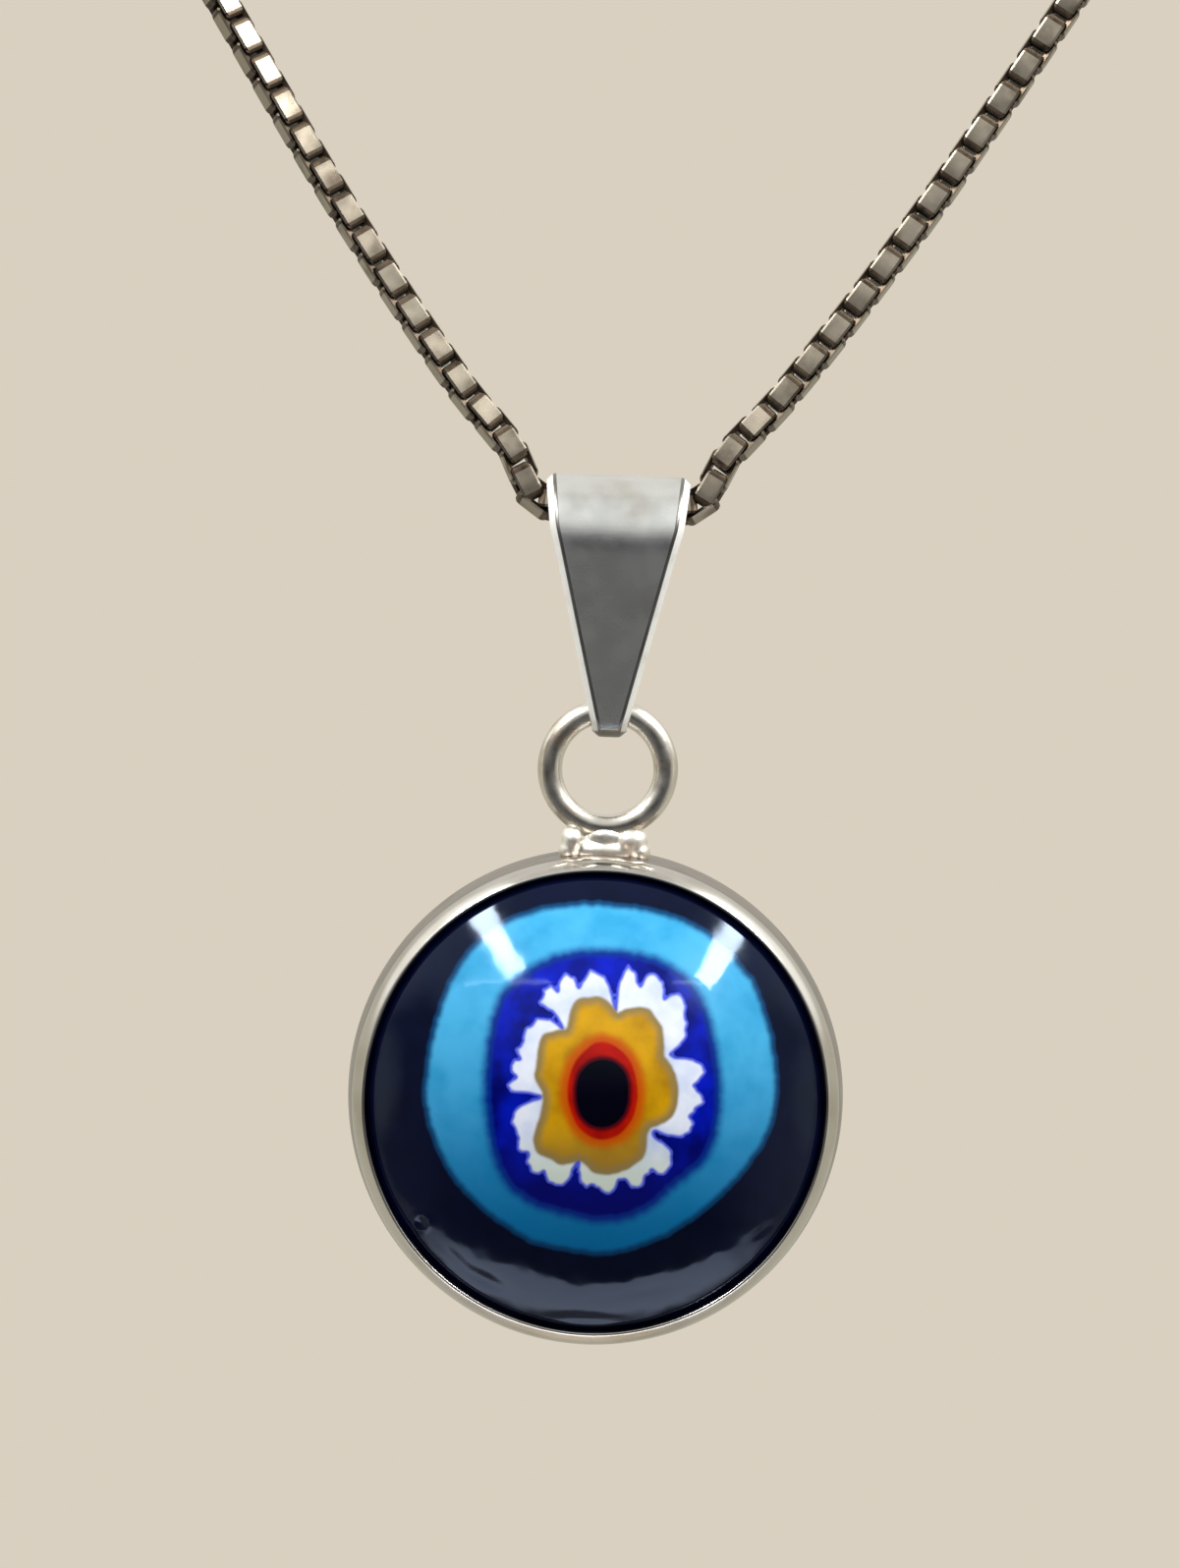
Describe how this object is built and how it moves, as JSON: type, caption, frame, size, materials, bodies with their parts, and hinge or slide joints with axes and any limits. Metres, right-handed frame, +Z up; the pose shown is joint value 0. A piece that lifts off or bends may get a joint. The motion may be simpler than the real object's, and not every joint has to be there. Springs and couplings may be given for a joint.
{
  "type": "evil eye pendant necklace",
  "caption": "Round domed millefiori glass eye in a silver cup setting, hung by a ring and a tapered folded bail from a fine box chain closed into a necklace loop.",
  "frame": {"origin": "where the necklace rests at the nape, at the middle of the clasp", "axes": "+Z up as worn, the glass faces -Y, +Y towards the wearer's back"},
  "size_m": [0.1166, 0.1084, 0.1468],
  "materials": {
    "chain_silver": "polished silver box chain, darker between the links",
    "clasp_silver": "polished silver",
    "bail_silver": "polished silver sheet with fine wear",
    "setting_silver": "polished silver, matt and yellowed round the solder",
    "navy_glass": "glossy near-black navy glass",
    "sky_glass": "glossy opaque sky blue glass",
    "royal_glass": "glossy royal blue glass",
    "white_glass": "glossy opaque white glass",
    "amber_glass": "glossy amber yellow glass",
    "red_glass": "glossy red glass",
    "black_glass": "glossy black glass"
  },
  "bodies": {
    "necklace": {"chain": "chain_silver", "clasp": "clasp_silver"},
    "bail": {"bail": "bail_silver"},
    "drop": {"setting": "setting_silver", "glass_base": "navy_glass", "sky_ring": "sky_glass", "royal_ring": "royal_glass", "white_petals": "white_glass", "amber_petals": "amber_glass", "red_ring": "red_glass", "pupil": "black_glass"}
  },
  "joints": [
    {"name": "bail_swing", "type": "hinge", "parent": "necklace", "child": "bail", "pos_m": [0, -0.104, -0.12], "axis": [1, 0, 0], "range_deg": [-90, 90]},
    {"name": "drop_swing", "type": "hinge", "parent": "bail", "child": "drop", "pos_m": [0, -0.104, -0.126], "axis": [1, 0, 0], "range_deg": [-90, 90]}
  ]
}
